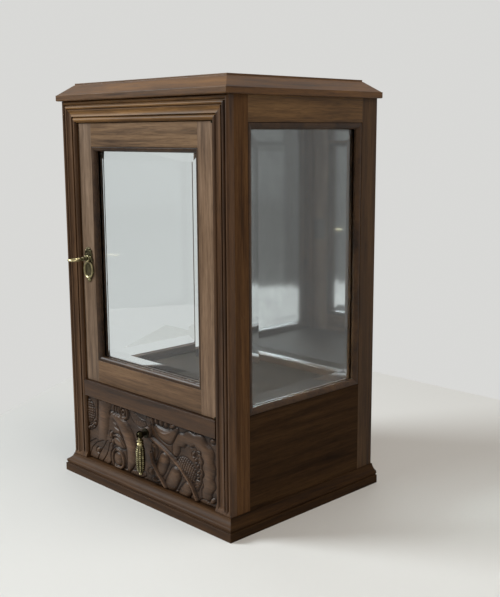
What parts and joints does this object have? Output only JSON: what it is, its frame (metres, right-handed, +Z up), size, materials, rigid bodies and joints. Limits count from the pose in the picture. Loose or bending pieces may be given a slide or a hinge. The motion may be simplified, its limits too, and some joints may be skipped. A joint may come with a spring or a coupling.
{
  "type": "display case",
  "caption": "Table-top wooden vitrine with bevelled glass door and sides, mirrored back, moulded front frame, lock with key, and a carved drawer with a drop pull.",
  "frame": {"origin": "middle of the underside of the base board, below the centre of the case body", "axes": "+Z up, -Y out of the front (door and drawer side), +X to the right seen from the front"},
  "size_m": [0.32, 0.2726, 0.5],
  "materials": {
    "walnut": "polished",
    "inner_wood": "plain",
    "glass": "clear, bevelled",
    "mirror": "silvered",
    "brass": "aged",
    "steel": "plain"
  },
  "bodies": {
    "case": {"back_board": "inner_wood", "back_mirror": "mirror", "base_moulding_front": "walnut", "base_moulding_left": "walnut", "base_moulding_right": "walnut", "display_floor": "walnut", "divider_rail": "walnut", "door_stop": "walnut", "drawer_runners": "inner_wood", "drawer_stops": "inner_wood", "floor_kickers": "inner_wood", "front_moulding_left": "walnut", "front_moulding_right": "walnut", "front_moulding_top": "walnut", "front_post_left": "walnut", "front_post_right": "walnut", "front_top_rail": "walnut", "lower_frame_pivot": "brass", "mirror_beads": "walnut", "plinth_board": "inner_wood", "rear_stile_left": "walnut", "rear_stile_right": "walnut", "side_bottom_rail_left": "walnut", "side_bottom_rail_right": "walnut", "side_glass_left": "glass", "side_glass_right": "glass", "side_inner_beads_left": "walnut", "side_inner_beads_right": "walnut", "side_outer_beads_left": "walnut", "side_outer_beads_right": "walnut", "side_top_rail_left": "walnut", "side_top_rail_right": "walnut", "strike_plate": "brass", "top_board": "walnut", "upper_frame_pivot": "brass"},
    "door": {"door_stile_left": "walnut", "door_stile_right": "walnut", "door_rail_top": "walnut", "door_rail_bottom": "walnut", "door_outer_beads": "walnut", "door_glass": "glass", "door_inner_beads": "walnut", "upper_door_pivot": "brass", "lower_door_pivot": "brass", "escutcheon": "brass", "lock_case": "steel", "lock_cover": "steel"},
    "lock_bolt": {"lock_bolt": "steel"},
    "key": {"key": "brass"},
    "drawer": {"drawer_front": "walnut", "drawer_side_left": "inner_wood", "drawer_side_right": "inner_wood", "drawer_back": "inner_wood", "drawer_bottom": "inner_wood", "pull_post": "brass", "pull_nut": "steel", "pull_pin": "brass"},
    "pull": {"pull_drop": "brass"}
  },
  "joints": [
    {"name": "door_hinge", "type": "hinge", "parent": "case", "child": "door", "pos_m": [0.1226, -0.1163, 0.289], "axis": [0, 0, 1], "range_deg": [0, 110]},
    {"name": "key_turn", "type": "hinge", "parent": "door", "child": "key", "pos_m": [-0.1112, -0.116, 0.286], "axis": [0, 1, 0], "range_deg": [0, 180]},
    {"name": "bolt_throw", "type": "slide", "parent": "door", "child": "lock_bolt", "axis": [-1, 0, 0], "range_m": [0, 0.006]},
    {"name": "drawer_slide", "type": "slide", "parent": "case", "child": "drawer", "axis": [0, -1, 0], "range_m": [0, 0.17]},
    {"name": "pull_swing", "type": "hinge", "parent": "drawer", "child": "pull", "pos_m": [0, -0.1283, 0.0852], "axis": [-1, 0, 0], "range_deg": [0, 75]}
  ],
  "couplings": [
    {"joint": "bolt_throw", "follows": "key_turn", "m_per_rad": 0.0019099}
  ]
}
